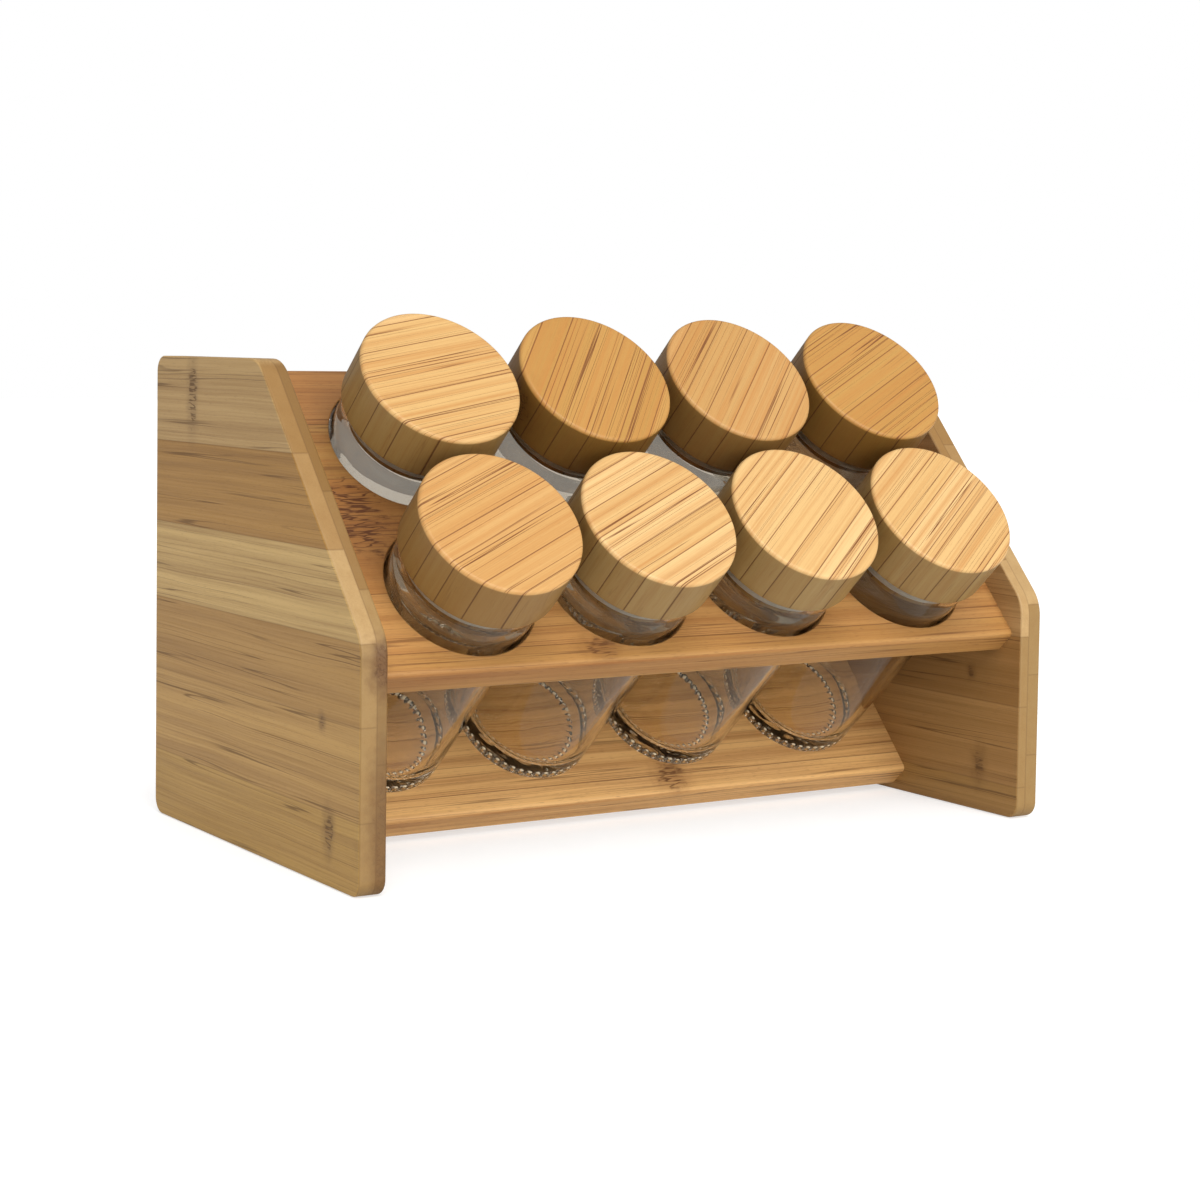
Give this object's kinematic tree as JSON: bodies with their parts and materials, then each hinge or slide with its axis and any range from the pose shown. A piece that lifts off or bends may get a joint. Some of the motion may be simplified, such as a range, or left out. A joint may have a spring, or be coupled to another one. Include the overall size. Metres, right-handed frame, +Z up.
{
  "type": "tiered jar rack",
  "caption": "Bamboo countertop rack whose two sloping boards hold rows of round glass jars with push-in bamboo lids, tilted towards the user",
  "frame": {"origin": "on the surface that the rack stands on, under the middle of the whole object's box", "axes": "+X along the rack to its right as seen from the front, +Y to the back, +Z up; the jars lean towards -Y"},
  "size_m": [0.296, 0.1943, 0.1926],
  "materials": {
    "bamboo_panel": "satin clear-lacquered laminated bamboo",
    "bamboo_board": "satin clear-lacquered laminated bamboo",
    "bamboo_lid": "turned and lacquered laminated bamboo",
    "dowel_wood": "plain turned hardwood",
    "jar_glass": "clear moulded glass",
    "silicone": "translucent white silicone"
  },
  "bodies": {
    "rack": {"side_panel_left": "bamboo_panel", "side_panel_right": "bamboo_panel", "upper_board": "bamboo_board", "lower_board": "bamboo_board", "dowels_upper_left": "dowel_wood", "dowels_lower_left": "dowel_wood", "dowels_upper_right": "dowel_wood", "dowels_lower_right": "dowel_wood"},
    "jar_front_1": {"jar_front_1": "jar_glass"},
    "lid_front_1": {"lid_front_1": "bamboo_lid", "plug_front_1": "bamboo_lid", "seal_front_1": "silicone"},
    "jar_front_2": {"jar_front_2": "jar_glass"},
    "lid_front_2": {"lid_front_2": "bamboo_lid", "plug_front_2": "bamboo_lid", "seal_front_2": "silicone"},
    "jar_front_3": {"jar_front_3": "jar_glass"},
    "lid_front_3": {"lid_front_3": "bamboo_lid", "plug_front_3": "bamboo_lid", "seal_front_3": "silicone"},
    "jar_front_4": {"jar_front_4": "jar_glass"},
    "lid_front_4": {"lid_front_4": "bamboo_lid", "plug_front_4": "bamboo_lid", "seal_front_4": "silicone"},
    "jar_back_1": {"jar_back_1": "jar_glass"},
    "lid_back_1": {"lid_back_1": "bamboo_lid", "plug_back_1": "bamboo_lid", "seal_back_1": "silicone"},
    "jar_back_2": {"jar_back_2": "jar_glass"},
    "lid_back_2": {"lid_back_2": "bamboo_lid", "plug_back_2": "bamboo_lid", "seal_back_2": "silicone"},
    "jar_back_3": {"jar_back_3": "jar_glass"},
    "lid_back_3": {"lid_back_3": "bamboo_lid", "plug_back_3": "bamboo_lid", "seal_back_3": "silicone"},
    "jar_back_4": {"jar_back_4": "jar_glass"},
    "lid_back_4": {"lid_back_4": "bamboo_lid", "plug_back_4": "bamboo_lid", "seal_back_4": "silicone"}
  },
  "joints": [
    {"name": "jar_front_1_lift", "type": "slide", "parent": "rack", "child": "jar_front_1", "axis": [0, -0.7431, 0.6691], "range_m": [0, 0.101]},
    {"name": "lid_front_1_lift", "type": "slide", "parent": "jar_front_1", "child": "lid_front_1", "axis": [0, -0.7431, 0.6691], "range_m": [0, 0.025]},
    {"name": "jar_front_2_lift", "type": "slide", "parent": "rack", "child": "jar_front_2", "axis": [0, -0.7431, 0.6691], "range_m": [0, 0.101]},
    {"name": "lid_front_2_lift", "type": "slide", "parent": "jar_front_2", "child": "lid_front_2", "axis": [0, -0.7431, 0.6691], "range_m": [0, 0.025]},
    {"name": "jar_front_3_lift", "type": "slide", "parent": "rack", "child": "jar_front_3", "axis": [0, -0.7431, 0.6691], "range_m": [0, 0.101]},
    {"name": "lid_front_3_lift", "type": "slide", "parent": "jar_front_3", "child": "lid_front_3", "axis": [0, -0.7431, 0.6691], "range_m": [0, 0.025]},
    {"name": "jar_front_4_lift", "type": "slide", "parent": "rack", "child": "jar_front_4", "axis": [0, -0.7431, 0.6691], "range_m": [0, 0.101]},
    {"name": "lid_front_4_lift", "type": "slide", "parent": "jar_front_4", "child": "lid_front_4", "axis": [0, -0.7431, 0.6691], "range_m": [0, 0.025]},
    {"name": "jar_back_1_lift", "type": "slide", "parent": "rack", "child": "jar_back_1", "axis": [0, -0.7431, 0.6691], "range_m": [0, 0.101]},
    {"name": "lid_back_1_lift", "type": "slide", "parent": "jar_back_1", "child": "lid_back_1", "axis": [0, -0.7431, 0.6691], "range_m": [0, 0.025]},
    {"name": "jar_back_2_lift", "type": "slide", "parent": "rack", "child": "jar_back_2", "axis": [0, -0.7431, 0.6691], "range_m": [0, 0.101]},
    {"name": "lid_back_2_lift", "type": "slide", "parent": "jar_back_2", "child": "lid_back_2", "axis": [0, -0.7431, 0.6691], "range_m": [0, 0.025]},
    {"name": "jar_back_3_lift", "type": "slide", "parent": "rack", "child": "jar_back_3", "axis": [0, -0.7431, 0.6691], "range_m": [0, 0.101]},
    {"name": "lid_back_3_lift", "type": "slide", "parent": "jar_back_3", "child": "lid_back_3", "axis": [0, -0.7431, 0.6691], "range_m": [0, 0.025]},
    {"name": "jar_back_4_lift", "type": "slide", "parent": "rack", "child": "jar_back_4", "axis": [0, -0.7431, 0.6691], "range_m": [0, 0.101]},
    {"name": "lid_back_4_lift", "type": "slide", "parent": "jar_back_4", "child": "lid_back_4", "axis": [0, -0.7431, 0.6691], "range_m": [0, 0.025]}
  ]
}
